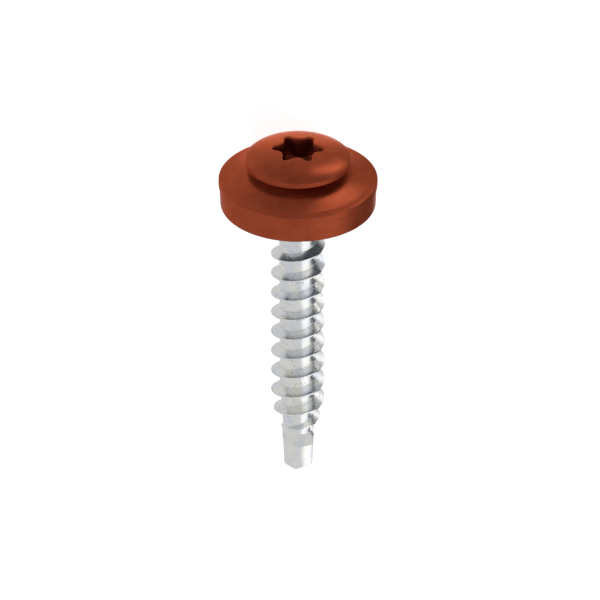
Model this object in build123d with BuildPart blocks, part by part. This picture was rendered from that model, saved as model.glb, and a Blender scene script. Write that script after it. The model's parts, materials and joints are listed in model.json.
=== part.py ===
from build123d import *
from math import acos, asin, atan2, cos, degrees, hypot, radians, sin, sqrt, tan
import os

os.makedirs("parts", exist_ok=True)

# A self drilling roofing screw, modelled upright with Z along its axis, the head up,
# and Z = 0 at the face that the seal presses on the sheet. It is laid down at the end.

# Washer, and the seal that follows it
washer_diameter = 14.0
washer_thickness = 0.84
washer_rim_height = 0.6
washer_rise = 0.55
washer_hole_diameter = 5.2
washer_skirt_width = 0.5
washer_edge_rounding = 0.08
dome_fullness = 0.56
seal_height = 1.9
seal_inset = 0.08
seal_draft = 0.08
seal_edge_radius = 0.15

# Head
head_diameter = 9.24
crown_overhang = 0.23
crown_rise = 1.6
rim_height = 0.52
rim_rounding = 0.12
collar_diameter = 6.8
collar_height = 0.73
seat_clearance = 0.05

# Hexalobular drive recess
lobe_count = 6
recess_across_lobes = 4.5
recess_across_flutes = 3.2
lobe_radius = 0.37
recess_depth = 1.9
recess_tip_height = 0.4
recess_turn = -3.0
mouth_rounding = 0.14

# Neck and core of the shank
neck_diameter = 3.8
neck_clearance = 0.05
neck_below_seal = 0.4
neck_shoulder_height = 0.3
core_top_diameter = 3.38
core_low_diameter = 3.26
core_end_diameter = 2.75
core_straight_length = 18.1
core_length = 22.2

# Coarse rolled thread, its height a share of the full height where it runs in and out
thread_diameter = 4.8
thread_pitch = 2.0
flank_angle = 30
crest_width = 0.12
root_sink = 0.25
thread_top_level = -2.12
thread_top_turn = 180
run_in_turns = 0.5
run_in_heights = (0.1, 1)
full_turns = 8
run_out_pitch = 1.87
run_out_turns = 0.5
run_out_heights = (1, 0.97, 0.78, 0.56, 0.12)

# Drill point
screw_length = 27.55
drill_diameter = 4.04
drill_length = 4.45
drill_shoulder_height = 0.9
point_angle = 118
cone_overrun = 0.06
relief_angle = 24
drill_turn = -2.5
rake_offset = 0.1
waist_top_width = 2.82
waist_tip_width = 2.4
web_thickness = 0.98
flute_floor_angle = 17
flute_corner_radius = 0.4
flute_length = 3.3
flute_run_out_length = 1.1

# Radii and levels worked out from the sizes
washer_radius = washer_diameter / 2
washer_hole_radius = washer_hole_diameter / 2
washer_skirt_radius = washer_radius - washer_skirt_width
washer_hole_level = seal_height + washer_rise
seal_top_radius = washer_radius - seal_inset
seal_bottom_radius = seal_top_radius - seal_draft
neck_radius = neck_diameter / 2
bore_radius = neck_radius + neck_clearance
collar_radius = collar_diameter / 2
collar_level = washer_hole_level + washer_thickness + seat_clearance
underside_level = collar_level + collar_height
head_radius = head_diameter / 2
crown_reach = head_radius + crown_overhang
crease_share = head_radius / crown_reach
crown_centre_level = underside_level + rim_height - crown_rise * sqrt(1 - crease_share**2)
crown_level = crown_centre_level + crown_rise
recess_level = crown_level - recess_depth
core_end_radius = core_end_diameter / 2
neck_end_level = -neck_below_seal
core_top_level = neck_end_level - neck_shoulder_height
thread_radius = thread_diameter / 2
root_radius = core_end_radius - root_sink
tip_level = -screw_length
drill_radius = drill_diameter / 2
drill_top_level = tip_level + drill_length
cone_slope = tan(radians(90 - point_angle / 2))
lip_level = tip_level + cone_slope * drill_radius


def dome_arc(lift):
    """Points of the washer's domed line from its hole out to its skirt."""
    middle_radius = (washer_hole_radius + washer_skirt_radius) / 2
    hole = (washer_hole_radius, washer_hole_level + lift)
    middle = (middle_radius, seal_height + dome_fullness * washer_rise + lift)
    skirt = (washer_skirt_radius, seal_height + lift)
    return hole, middle, skirt


# Domed washer of painted sheet steel, its rim pressed a little thinner
with BuildPart() as upright_washer:
    with BuildSketch(Plane.XZ) as washer_section:
        with BuildLine():
            top_line = ThreePointArc(*dome_arc(washer_thickness))
            under_line = ThreePointArc(*dome_arc(0))
            Line(top_line @ 0, under_line @ 0)
            Polyline(
                top_line @ 1,
                (washer_radius, seal_height + washer_rim_height),
                (washer_radius, seal_height),
                under_line @ 1,
            )
        make_face()
        fillet(washer_section.vertices().group_by(Axis.X)[-1], washer_edge_rounding)
    revolve(axis=Axis.Z)

# Rubber seal bonded under the washer, running on the screw's neck
with BuildPart() as upright_seal:
    with BuildSketch(Plane.XZ) as seal_section:
        with BuildLine():
            bonded_line = ThreePointArc(*dome_arc(0))
            Polyline(
                bonded_line @ 1,
                (seal_top_radius, seal_height),
                (seal_bottom_radius, 0),
                (bore_radius, 0),
                (bore_radius, washer_hole_level),
                bonded_line @ 0,
            )
        make_face()
        outer_corners = seal_section.vertices().group_by(Axis.Y)[0].sort_by(Axis.X)
        fillet(outer_corners[-1], seal_edge_radius)
    revolve(axis=Axis.Z)


def recess_outline():
    """The six-lobed outline, lobes and hollows as arcs that meet tangentially."""
    half_pitch = 180 / lobe_count
    lobe_centre = recess_across_lobes / 2 - lobe_radius
    hollow_foot = recess_across_flutes / 2
    along = lobe_centre * cos(radians(half_pitch))
    apart = lobe_centre**2 + hollow_foot**2 - 2 * along * hollow_foot
    hollow_radius = (apart - lobe_radius**2) / (2 * (lobe_radius + along - hollow_foot))
    hollow_centre = Vector(hollow_foot + hollow_radius, 0).rotate(Axis.Z, half_pitch)
    towards = (hollow_centre - Vector(lobe_centre, 0)).normalized()
    joint = Vector(lobe_centre, 0) + towards * lobe_radius
    for lobe in range(lobe_count):
        turn = recess_turn + lobe * 2 * half_pitch
        after = joint.rotate(Axis.Z, turn)
        before = Vector(joint.X, -joint.Y).rotate(Axis.Z, turn)
        following = before.rotate(Axis.Z, 2 * half_pitch)
        tip = Vector(recess_across_lobes / 2, 0).rotate(Axis.Z, turn)
        foot = Vector(hollow_foot, 0).rotate(Axis.Z, turn + half_pitch)
        ThreePointArc(before, tip, after)
        ThreePointArc(after, foot, following)


def in_recess_mouth(edge):
    """Whether an edge is one of those where the recess breaks through the crown."""
    middle = edge.center()
    above_middle = middle.Z > crown_level - recess_depth / 2
    return above_middle and hypot(middle.X, middle.Y) < recess_across_lobes / 2 + mouth_rounding


# Drive recess, with a coned floor
with BuildPart() as recess:
    with BuildSketch(Plane.XY.offset(recess_level)):
        with BuildLine():
            recess_outline()
        make_face()
    extrude(amount=recess_depth + mouth_rounding)
    with BuildSketch(Plane.XZ):
        with BuildLine():
            Polyline(
                (0, recess_level),
                (recess_across_flutes / 2, recess_level),
                (0, recess_level - recess_tip_height),
                close=True,
            )
        make_face()
    revolve(axis=Axis.Z)

# Head, neck and core, turned from one outline, with the recess sunk in the crown
with BuildPart() as headed_pin:
    with BuildSketch(Plane.XZ) as pin_section:
        with BuildLine():
            crease_angle = degrees(acos(crease_share))
            crown = EllipticalCenterArc(
                (0, crown_centre_level),
                crown_reach,
                crown_rise,
                start_angle=crease_angle,
                arc_size=90 - crease_angle,
            )
            Polyline(
                crown @ 0,
                (head_radius, underside_level),
                (collar_radius, underside_level),
                (collar_radius, collar_level),
                (neck_radius, collar_level),
                (neck_radius, neck_end_level),
                (core_top_diameter / 2, core_top_level),
                (core_low_diameter / 2, -core_straight_length),
                (core_end_radius, -core_length),
                (core_end_radius, drill_top_level),
                (0, drill_top_level),
                crown @ 1,
            )
        make_face()
        rim_corners = pin_section.vertices().group_by(Axis.X)[-1].sort_by(Axis.Y)
        fillet(rim_corners[0], rim_rounding)
    revolve(axis=Axis.Z)
    add(recess.part, mode=Mode.SUBTRACT)
    fillet(headed_pin.edges().filter_by(in_recess_mouth), mouth_rounding)


def thread_section(plane, height):
    """The thread's profile in an axial plane, its height a share of the full thread's."""
    crest_radius = core_end_radius + height * (thread_radius - core_end_radius)
    half_root = crest_width / 2 + (crest_radius - root_radius) * tan(radians(flank_angle))
    with BuildSketch(plane) as section:
        with BuildLine():
            Polyline(
                (root_radius, -half_root),
                (crest_radius, -crest_width / 2),
                (crest_radius, crest_width / 2),
                (root_radius, half_root),
                close=True,
            )
        make_face()
    return section.sketch


def thread_stretch(level, pitch, turns, heights):
    """A stretch of thread winding down from level, between two heights."""
    path = Helix(pitch, turns * pitch, root_radius, (0, 0, level), (0, 0, -1))
    sections = []
    for end, height in zip((path @ 0, path @ 1), heights):
        radial = Vector(end.X, end.Y, 0).normalized()
        across = radial.cross(Vector(0, 0, 1))
        plane = Plane((0, 0, end.Z), x_dir=radial, z_dir=across)
        sections.append(thread_section(plane, height))
    with BuildPart() as stretch:
        sweep(sections=sections, path=path, multisection=True, is_frenet=True)
    return stretch.part


def flute_section(plane, shift):
    """One flute's profile: rake wall, rounded corner and floor, moved out by shift."""
    far = drill_diameter
    lean = radians(flute_floor_angle)
    corner_depth = (web_thickness / 2 - rake_offset * sin(lean)) / cos(lean)
    floor_depth = (web_thickness / 2 - far * sin(lean)) / cos(lean)
    with BuildSketch(plane) as section:
        with BuildLine():
            Polyline(
                (-rake_offset - shift, -far - shift),
                (-rake_offset - shift, -corner_depth - shift),
                (-far - shift, -floor_depth - shift),
                (-far - shift, -far - shift),
                close=True,
            )
        make_face()
        inner_corner = section.vertices().sort_by(Axis.X)[-2:].sort_by(Axis.Y)[-1]
        fillet(inner_corner, flute_corner_radius)
    return section.sketch


# The drill's two flutes, cut straight and then run out to the core
with BuildPart() as flutes:
    for side in (0, 180):
        drill_plane = Plane.XY.rotated((0, 0, drill_turn + side))
        below_tip = drill_plane.offset(tip_level - flute_run_out_length)
        flute_top = drill_plane.offset(tip_level + flute_length)
        flute_end = flute_top.offset(flute_run_out_length)
        extrude(flute_section(below_tip, 0), amount=flute_length + flute_run_out_length)
        loft([flute_section(flute_top, 0), flute_section(flute_end, drill_radius / sqrt(2))])

# The waste beside the drill's two narrow flanks, which close a little towards the tip
with BuildPart() as flank_waste:
    with BuildSketch(Plane.XZ):
        with BuildLine():
            Polyline(
                (waist_top_width / 2, drill_top_level),
                (waist_tip_width / 2, tip_level - cone_overrun),
                (drill_diameter, tip_level - cone_overrun),
                (drill_diameter, drill_top_level),
                close=True,
            )
        make_face()
        mirror(about=Plane.YZ)
    extrude(amount=drill_diameter, both=True)

# The waste under the two end faces, each along its cutting lip and rising behind it
with BuildPart() as end_waste:
    for side in (0, 180):
        rise = Vector(-tan(radians(relief_angle)), cone_slope, 1)
        end_face = Plane((0, 0, tip_level), z_dir=rise.rotate(Axis.Z, drill_turn + side))
        with BuildSketch(end_face):
            Rectangle(3 * drill_diameter, 3 * drill_diameter)
        extrude(amount=-drill_diameter)

# Drill point: a flared blank with two lands left between the flutes and the flanks
with BuildPart() as drill_point:
    with BuildSketch(Plane.XZ):
        with BuildLine():
            Polyline(
                (0, drill_top_level),
                (core_end_radius, drill_top_level),
                (drill_radius, drill_top_level - drill_shoulder_height),
                (drill_radius, lip_level - cone_overrun),
                (0, tip_level - cone_overrun),
                close=True,
            )
        make_face()
    revolve(axis=Axis.Z)
    add(flutes.part, mode=Mode.SUBTRACT)
    add(flank_waste.part, mode=Mode.SUBTRACT)
    add(end_waste.part, mode=Mode.SUBTRACT)

# The screw upright, its thread laid on the core stretch by stretch from the top down
stretches = [(thread_pitch, run_in_turns, run_in_heights)]
stretches += [(thread_pitch, 1, (1, 1))] * full_turns
for ends in zip(run_out_heights, run_out_heights[1:]):
    stretches.append((run_out_pitch, run_out_turns, ends))
with BuildPart() as upright_screw:
    add(headed_pin.part)
    add(drill_point.part)
    level = thread_top_level
    angle = thread_top_turn
    for pitch, turns, ends in stretches:
        add(thread_stretch(level, pitch, turns, ends), rotation=(0, 0, angle))
        level -= turns * pitch
        angle -= turns * 360

# The screw lies on the edge of its seal and the lower cutting corner of its drill point
drop = seal_edge_radius - lip_level
spread = seal_bottom_radius - seal_edge_radius - drill_radius
lean = atan2(spread, drop) + asin(seal_edge_radius / hypot(spread, drop))
head_way = (-cos(lean), 0, sin(lean))
leaning = Plane(origin=(0, 0, 0), x_dir=(0, 1, 0), z_dir=head_way)
upright_parts = [upright_screw.part, upright_washer.part, upright_seal.part]
whole = Compound([leaning.location * part for part in upright_parts])
reach = whole.bounding_box()
lying = Plane(origin=(-reach.center().X, 0, -reach.min.Z), x_dir=(0, 1, 0), z_dir=head_way)

with BuildPart(lying) as screw:
    add(upright_screw.part)
screw.part.label = "screw"
export_step(screw.part, "parts/screw.step")

with BuildPart(lying) as washer:
    add(upright_washer.part)
washer.part.label = "washer"
export_step(washer.part, "parts/washer.step")

with BuildPart(lying) as sealing_ring:
    add(upright_seal.part)
sealing_ring.part.label = "sealing_ring"
export_step(sealing_ring.part, "parts/sealing_ring.step")
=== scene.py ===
import bpy
import json
import math
from mathutils import Matrix, Vector


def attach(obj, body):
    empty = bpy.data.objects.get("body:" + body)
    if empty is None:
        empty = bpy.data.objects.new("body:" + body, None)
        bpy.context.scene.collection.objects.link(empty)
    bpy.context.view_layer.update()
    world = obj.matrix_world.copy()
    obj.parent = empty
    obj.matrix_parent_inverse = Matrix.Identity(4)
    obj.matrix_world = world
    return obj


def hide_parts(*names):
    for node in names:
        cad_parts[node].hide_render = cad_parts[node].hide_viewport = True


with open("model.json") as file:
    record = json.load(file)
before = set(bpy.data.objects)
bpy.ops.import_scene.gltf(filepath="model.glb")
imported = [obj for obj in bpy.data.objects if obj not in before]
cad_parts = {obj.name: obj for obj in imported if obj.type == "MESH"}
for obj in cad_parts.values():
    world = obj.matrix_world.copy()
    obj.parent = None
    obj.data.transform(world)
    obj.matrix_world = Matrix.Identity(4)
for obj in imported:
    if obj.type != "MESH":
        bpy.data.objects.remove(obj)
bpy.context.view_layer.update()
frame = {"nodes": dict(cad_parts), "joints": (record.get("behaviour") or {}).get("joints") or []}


def colour(red, green, blue):
    return (red, green, blue, 1.0)


def grey(level):
    return colour(level, level, level)


# The screw's own frame, read from the washer's joint: the seal's pressed face and the way to the head
turn = frame["joints"][0]
seal_centre = Vector(turn["pos_m"])
head_way = Vector(turn["axis"]).normalized()
right_way = Vector((0, 1, 0))
front_way = right_way.cross(head_way).normalized()

# The photograph's view: looking down on the washer from the front, through a long lens
camera_elevation = math.radians(31)
camera_distance = 1.0
picture_width = 0.0528
picture_right = 0.00017
picture_drop = 0.00855
sensor_width = 36
nearest_seen = 0.01
farthest_seen = 20

# Levels along the screw's axis, from the pressed face, in metres
screw_paint_level = 0.001
seal_paint_level = 0.00008
paint_edge = 0.00004
crown_level = 0.0057
drill_top_level = -0.0231

# Where painted shade darkens the paint in the driver recess: depths below the crown, and distances from its
# middle
recess_depths = (-0.0008, -0.00035)
recess_reach = (0.0026, 0.0028)

# Colours of the paint, the zinc and the rubber
paint_plain = colour(0.37, 0.069, 0.029)
paint_light = colour(0.42, 0.081, 0.034)
paint_deep = colour(0.30, 0.054, 0.022)
# Painted shade: a darker paint colour for the inside of the driver recess
recess_painted_shade = colour(0.19, 0.037, 0.017)
paint_gleam = colour(1.0, 0.45, 0.32)
zinc_cool = colour(0.75, 0.775, 0.82)
zinc_warm = colour(0.86, 0.86, 0.815)
zinc_green = colour(0.74, 0.76, 0.60)
zinc_pit = colour(0.16, 0.17, 0.19)
rubber_dark = colour(0.07, 0.077, 0.095)
rubber_light = colour(0.10, 0.109, 0.132)

# The washer's outline in millimetres, radius and level above the pressed face
washer_dome = ((2.6, 3.31), (3.4, 3.305), (4.2, 3.28), (4.7, 3.205), (5.1, 3.08), (5.6, 2.885), (6.1, 2.71),
               (6.4, 2.628), (6.5, 2.61))
washer_under = ((6.5, 1.9), (5.6, 2.05), (4.55, 2.208), (3.6, 2.34), (2.6, 2.45))
rim_radius = 7.0
rim_top = 2.545
rim_bottom = 1.9
rim_top_rounding = 0.1
rim_bottom_rounding = 0.07
rim_lean = 10
dome_steps = 5
rim_steps = 8
washer_segments = 240
millimetre = 0.001

# The floor: half its width in metres, its white, and how much of the white glows to the eye
floor_reach = 6.0
floor_white = grey(0.8)
floor_glow = 0.8

# The floor as the gloss shows it. Along X it fades above the head, and along Y across the shank
above_head_fade = (-0.048, -0.019)
above_head_far = grey(0.13)
above_head_near = grey(0.75)
above_right_fade = (0.002, 0.006)
above_right_share = 0.4
above_right = grey(0.2)
head_to_shank = (-0.0125, -0.0095)
bright_line_fade = (0.003, 0.006)
dark_side_fade = (0.009, 0.012)
by_shank_plain = grey(0.72)
by_shank_bright = grey(1.3)
by_shank_dark = colour(0.10, 0.115, 0.145)

# Bright cards on the floor for the gloss alone: place, full reach, last reach and level.
# One lies behind the head. The others make the patches at the front right of the head and the washer.
floor_cards = (((-0.0172, 0, 0), 0.003, 0.0075, 1.9),
               ((-0.031, 0.0155, 0), 0.003, 0.0075, 3.5),
               ((-0.055, 0.021, 0), 0.008, 0.019, 6.0))

# The world: levels for the gloss, the light and the eye
world_in_gloss = grey(0.72)
world_light = grey(0.15)
world_seen = grey(1.0)

# Panels in the world for the gloss alone: way in the screw's frame, full and last angle, level
world_panels = (((0, 0, 1), 25, 50, 0.12),
                ((0.64, 0.57, -0.51), 14, 28, 1.25))

# Soft square lamps: way from the seal in the screw's frame, size in metres, power in watts
lamp_distance = 0.5
lamps = (("overhead_box", (-0.08, -0.1, 1.0), 0.06, 0.65),
         ("left_box", (-1.0, 0.1, 0.35), 0.35, 1.2),
         ("front_box", (-0.1, 0.75, -0.6), 0.4, 0.6),
         ("right_box", (0.75, 0.65, -0.3), 0.2, 0.6))


def way(right, front, up):
    """A direction given in the upright screw's own frame."""
    return (right * right_way + front * front_way + up * head_way).normalized()


def link(thing):
    bpy.context.scene.collection.objects.link(thing)


def make_camera():
    """A camera at the photograph's angle, its frame set by where the axis lay in it."""
    towards = math.sin(camera_elevation) * head_way + math.cos(camera_elevation) * front_way
    up = (head_way - head_way.dot(towards) * towards).normalized()
    target = seal_centre + picture_right * right_way - picture_drop * up
    data = bpy.data.cameras.new("camera")
    data.sensor_width = sensor_width
    data.lens = sensor_width * camera_distance / picture_width
    data.clip_start = nearest_seen
    data.clip_end = farthest_seen
    camera = bpy.data.objects.new("camera", data)
    link(camera)
    turned = Matrix((right_way, up, towards)).transposed().to_4x4()
    camera.matrix_world = Matrix.Translation(target + camera_distance * towards) @ turned
    bpy.context.scene.camera = camera


class Nodes:
    """A short way to add and join the nodes of a material or the world."""

    def __init__(self, owner):
        owner.use_nodes = True
        self.tree = owner.node_tree
        self.tree.nodes.clear()

    def add(self, kind, settings=None, **inputs):
        """Adds a node; inputs are values, or sockets of other nodes."""
        node = self.tree.nodes.new("ShaderNode" + kind)
        for key, value in (settings or {}).items():
            setattr(node, key, value)
        for key, value in inputs.items():
            self.put(node, key.replace("_", " "), value)
        return node

    def put(self, node, name, value):
        """Sets or links one input, given by its name, or by its number as in i0."""
        numbered = name[0] == "i" and name[1:].isdigit()
        socket = node.inputs[int(name[1:]) if numbered else name]
        if isinstance(value, bpy.types.NodeSocket):
            self.tree.links.new(value, socket)
        else:
            socket.default_value = value

    def noise(self, where, scale, detail=3.0, roughness=0.5):
        return self.add("TexNoise", Vector=where, Scale=scale, Detail=detail, Roughness=roughness).outputs[0]

    def maths(self, operation, first, second):
        return self.add("Math", {"operation": operation}, i0=first, i1=second).outputs[0]

    def vector(self, operation, first, second, output="Value"):
        node = self.add("VectorMath", {"operation": operation}, i0=first, i1=second)
        return node.outputs[output]

    def ramp(self, value, low, high, to_low=0.0, to_high=1.0):
        """A smooth step from one level to another, as a value goes from low to high."""
        return self.add("MapRange", {"interpolation_type": "SMOOTHSTEP"}, Value=value, From_Min=low,
                        From_Max=high, To_Min=to_low, To_Max=to_high).outputs[0]

    def mix(self, share, first, second):
        """A colour between two others."""
        return self.add("Mix", {"data_type": "RGBA"}, i0=share, i6=first, i7=second).outputs[2]

    def mix_shaders(self, share, first, second):
        return self.add("MixShader", i0=share, i1=first, i2=second).outputs[0]

    def bump(self, height, distance, strength):
        return self.add("Bump", Height=height, Distance=distance, Strength=strength).outputs[0]

    def object_point(self):
        return self.add("TexCoord").outputs["Object"]


def finished_material(name, shader_maker):
    """A material with the shader that a function makes from its nodes."""
    material = bpy.data.materials.new(name)
    nodes = Nodes(material)
    nodes.add("OutputMaterial", Surface=shader_maker(nodes, nodes.object_point()))
    return material


def axis_level(nodes, where):
    """How far a point lies along the screw's axis, from the pressed face towards the head."""
    along = nodes.vector("DOT_PRODUCT", where, tuple(head_way))
    return nodes.maths("SUBTRACT", along, seal_centre.dot(head_way))


def painted_shade_in_recess(nodes, where):
    """Where painted shade falls: 1 inside the driver recess, 0 on the crown and outside."""
    crown = seal_centre + crown_level * head_way
    local = nodes.vector("SUBTRACT", where, tuple(crown), output="Vector")
    height = nodes.vector("DOT_PRODUCT", local, tuple(head_way))
    away = nodes.vector("DISTANCE", where, tuple(crown))
    deep = nodes.ramp(height, *recess_depths, to_low=1.0, to_high=0.0)
    return nodes.maths("MULTIPLY", deep, nodes.ramp(away, *recess_reach, to_low=1.0, to_high=0.0))


def paint_shader(nodes, where):
    """Red-brown paint with a coppery gleam, a faint orange peel, thin spots of a deeper tone and painted
    shade in the driver recess.
    """
    cloud = nodes.noise(where, scale=900.0)
    tone = nodes.mix(nodes.ramp(cloud, 0.3, 0.7), paint_plain, paint_light)
    fine = nodes.noise(where, scale=6500.0, detail=2.0)
    tone = nodes.mix(nodes.ramp(fine, 0.55, 0.75, to_high=0.15), tone, paint_deep)
    # Painted shade: the paint is darkened inside the driver recess
    tone = nodes.mix(painted_shade_in_recess(nodes, where), tone, recess_painted_shade)
    wear = nodes.noise(where, scale=2600.0, detail=2.0)
    roughness = nodes.ramp(wear, 0.3, 0.7, to_low=0.3, to_high=0.36)
    peel = nodes.bump(nodes.noise(where, scale=2500.0, detail=2.0), distance=0.000012, strength=0.15)
    return nodes.add("BsdfPrincipled", Base_Color=tone, Roughness=roughness, Normal=peel, Metallic=0.45,
                     Specular_IOR_Level=0.03, Specular_Tint=paint_gleam).outputs[0]


def zinc_pits(nodes, where):
    """Small dark pits that come in patches, and hardly any on the drill point."""
    grain = nodes.noise(where, scale=6500.0, detail=2.0, roughness=0.6)
    patches = nodes.ramp(nodes.noise(where, scale=1500.0, detail=2.0), 0.47, 0.58)
    pits = nodes.maths("MULTIPLY", nodes.ramp(grain, 0.61, 0.66), patches)
    above_drill = nodes.ramp(axis_level(nodes, where), drill_top_level - 0.0006, drill_top_level + 0.0004,
                             to_low=0.15)
    pits = nodes.maths("MULTIPLY", pits, above_drill)
    return nodes.maths("MULTIPLY", pits, 0.8)


def zinc_shader(nodes, where):
    """Bright zinc: soft mirror with clouded tone, faint tints, small pits and rolling marks."""
    cloud = nodes.noise(where, scale=700.0, detail=4.0)
    tone = nodes.mix(nodes.ramp(cloud, 0.35, 0.65), zinc_cool, zinc_warm)
    tint = nodes.ramp(nodes.noise(where, scale=1100.0), 0.6, 0.75, to_high=0.4)
    tone = nodes.mix(tint, tone, zinc_green)
    tone = nodes.mix(zinc_pits(nodes, where), tone, zinc_pit)
    roughness = nodes.ramp(nodes.noise(where, scale=3500.0), 0.3, 0.7, to_low=0.2, to_high=0.3)
    relief = nodes.bump(nodes.noise(where, scale=1800.0), distance=0.000008, strength=0.08)
    return nodes.add("BsdfPrincipled", Base_Color=tone, Roughness=roughness, Normal=relief,
                     Metallic=1.0).outputs[0]


def rubber_shader(nodes, where):
    """Dark grey rubber, bare on the face that the seal presses on the sheet."""
    tone = nodes.mix(nodes.noise(where, scale=1500.0), rubber_dark, rubber_light)
    grain = nodes.bump(nodes.noise(where, scale=6000.0, detail=2.0), distance=0.00001, strength=0.3)
    return nodes.add("BsdfPrincipled", Base_Color=tone, Normal=grain, Roughness=0.6).outputs[0]


def painted_above(name, edge_level, bare_shader):
    """Paint above a level on the screw's axis, and another finish below it."""
    def both(nodes, where):
        level = axis_level(nodes, where)
        painted = nodes.ramp(level, edge_level - paint_edge, edge_level + paint_edge)
        return nodes.mix_shaders(painted, bare_shader(nodes, where), paint_shader(nodes, where))
    return finished_material(name, both)


def floor_in_gloss(nodes, where):
    """The floor in reflections: pale by the shank, dark far to its right, fading out above the head."""
    split = nodes.add("SeparateXYZ", Vector=where)
    along = split.outputs["X"]
    across = split.outputs["Y"]
    above = nodes.mix(nodes.ramp(along, *above_head_fade), above_head_far, above_head_near)
    darker = nodes.ramp(across, *above_right_fade, to_high=above_right_share)
    above = nodes.mix(darker, above, above_right)
    by_shank = nodes.mix(nodes.ramp(across, *bright_line_fade), by_shank_plain, by_shank_bright)
    by_shank = nodes.mix(nodes.ramp(across, *dark_side_fade), by_shank, by_shank_dark)
    shade = nodes.mix(nodes.ramp(along, *head_to_shank), above, by_shank)
    for centre, full_reach, last_reach, level in floor_cards:
        away = nodes.vector("DISTANCE", where, centre)
        card = nodes.ramp(away, full_reach, last_reach, to_low=1.0, to_high=0.0)
        shade = nodes.mix(card, shade, grey(level))
    return shade


def floor_shader(nodes, where):
    """White to the eye, with a soft shadow, and a plain pale floor to the light."""
    path = nodes.add("LightPath")
    plain = nodes.add("BsdfDiffuse", Color=floor_white).outputs[0]
    glow = nodes.add("Emission", Color=grey(1.0), Strength=floor_glow).outputs[0]
    lit = nodes.add("AddShader", i0=plain, i1=glow).outputs[0]
    shown = nodes.add("Emission", Color=floor_in_gloss(nodes, where), Strength=1.0).outputs[0]
    in_gloss = nodes.maths("MAXIMUM", path.outputs["Is Glossy Ray"], path.outputs["Is Transmission Ray"])
    seen = nodes.mix_shaders(path.outputs["Is Camera Ray"], plain, lit)
    return nodes.mix_shaders(in_gloss, seen, shown)


def make_floor():
    reach = floor_reach
    mesh = bpy.data.meshes.new("floor")
    corners = [(-reach, -reach, 0), (reach, -reach, 0), (reach, reach, 0), (-reach, reach, 0)]
    mesh.from_pydata(corners, [], [(0, 1, 2, 3)])
    mesh.materials.append(finished_material("floor_white", floor_shader))
    floor = bpy.data.objects.new("floor", mesh)
    link(floor)


def make_lights():
    """Soft lamps that look at the seal; they stay out of the gloss, which shows the world and the floor."""
    for name, lamp_way, size, power in lamps:
        data = bpy.data.lights.new(name, "AREA")
        data.size = size
        data.energy = power
        lamp = bpy.data.objects.new(name, data)
        link(lamp)
        lamp.location = seal_centre + lamp_distance * way(*lamp_way)
        lamp.rotation_euler = (seal_centre - lamp.location).to_track_quat("-Z", "Y").to_euler()
        lamp.visible_glossy = False


def make_world():
    """Soft panels for the gloss, an even glow for the rest, and white to the eye."""
    world = bpy.data.worlds.new("studio")
    nodes = Nodes(world)
    direction = nodes.add("TexCoord").outputs["Generated"]
    shade = world_in_gloss
    for panel_way, full_angle, last_angle, level in world_panels:
        close = nodes.vector("DOT_PRODUCT", direction, tuple(way(*panel_way)))
        panel = nodes.ramp(close, math.cos(math.radians(last_angle)), math.cos(math.radians(full_angle)))
        shade = nodes.mix(panel, shade, grey(level))
    path = nodes.add("LightPath")
    shade = nodes.mix(path.outputs["Is Glossy Ray"], world_light, shade)
    shade = nodes.mix(path.outputs["Is Camera Ray"], shade, world_seen)
    nodes.add("OutputWorld", Surface=nodes.add("Background", Color=shade).outputs[0])
    bpy.context.scene.world = world


def between(before, start, end, after, part):
    """One measure of a smooth line, part of the way from start to end."""
    bend = 2 * before - 5 * start + 4 * end - after
    twist = 3 * start - before - 3 * end + after
    return 0.5 * (2 * start + (end - before) * part + bend * part**2 + twist * part**3)


def curve_through(points, steps):
    """Points of a smooth line through the given ones."""
    ends = (points[0],) + tuple(points) + (points[-1],)
    line = []
    for four in zip(ends, ends[1:], ends[2:], ends[3:]):
        for step in range(steps):
            line.append(tuple(between(*measures, step / steps) for measures in zip(*four)))
    return line + [points[-1]]


def arc(centre_radius, centre_level, rounding, start, end):
    """Points of an arc in the washer's outline; angles in degrees above the outward way."""
    angles = [math.radians(start + (end - start) * step / rim_steps) for step in range(rim_steps + 1)]
    return [(centre_radius + rounding * math.cos(angle), centre_level + rounding * math.sin(angle))
            for angle in angles]


def washer_outline():
    """From the hole over the dome to the rounded rim, and back along the underside."""
    top_level = rim_top - rim_top_rounding
    bottom_level = rim_bottom + rim_bottom_rounding
    top = arc(rim_radius - rim_top_rounding, top_level, rim_top_rounding, 90 - rim_lean, 0)
    bottom = arc(rim_radius - rim_bottom_rounding, bottom_level, rim_bottom_rounding, 0, -90)
    return curve_through(washer_dome, dome_steps) + top + bottom + list(washer_under)


def turned_mesh(name, outline, segments):
    """A closed ring: an outline in millimetres, turned about the screw's axis."""
    vertices = []
    faces = []
    count = len(outline)
    for segment in range(segments):
        angle = 2 * math.pi * segment / segments
        outward = math.sin(angle) * right_way + math.cos(angle) * front_way
        here = segment * count
        there = (segment + 1) % segments * count
        for row, (radius, level) in enumerate(outline):
            vertices.append(seal_centre + millimetre * (radius * outward + level * head_way))
            below = (row + 1) % count
            faces.append((here + below, there + below, there + row, here + row))
    mesh = bpy.data.meshes.new(name)
    mesh.from_pydata(vertices, [], faces)
    mesh.polygons.foreach_set("use_smooth", [True] * len(faces))
    return mesh


def make_washer():
    """The painted washer, its dome fuller by the head than the solid's and flatter by the rim."""
    mesh = turned_mesh("domed_washer", washer_outline(), washer_segments)
    mesh.materials.append(finished_material("red_brown_paint", paint_shader))
    piece = bpy.data.objects.new("domed_washer", mesh)
    link(piece)
    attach(piece, "washer_body")
    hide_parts("washer")


def dress(node, material):
    mesh = frame["nodes"][node].data
    mesh.materials.clear()
    mesh.materials.append(material)


dress("screw", painted_above("painted_zinc", screw_paint_level, zinc_shader))
make_washer()
dress("sealing_ring", painted_above("painted_rubber", seal_paint_level, rubber_shader))
make_floor()
make_lights()
make_world()
make_camera()

bpy.context.scene.view_settings.view_transform = "Standard"
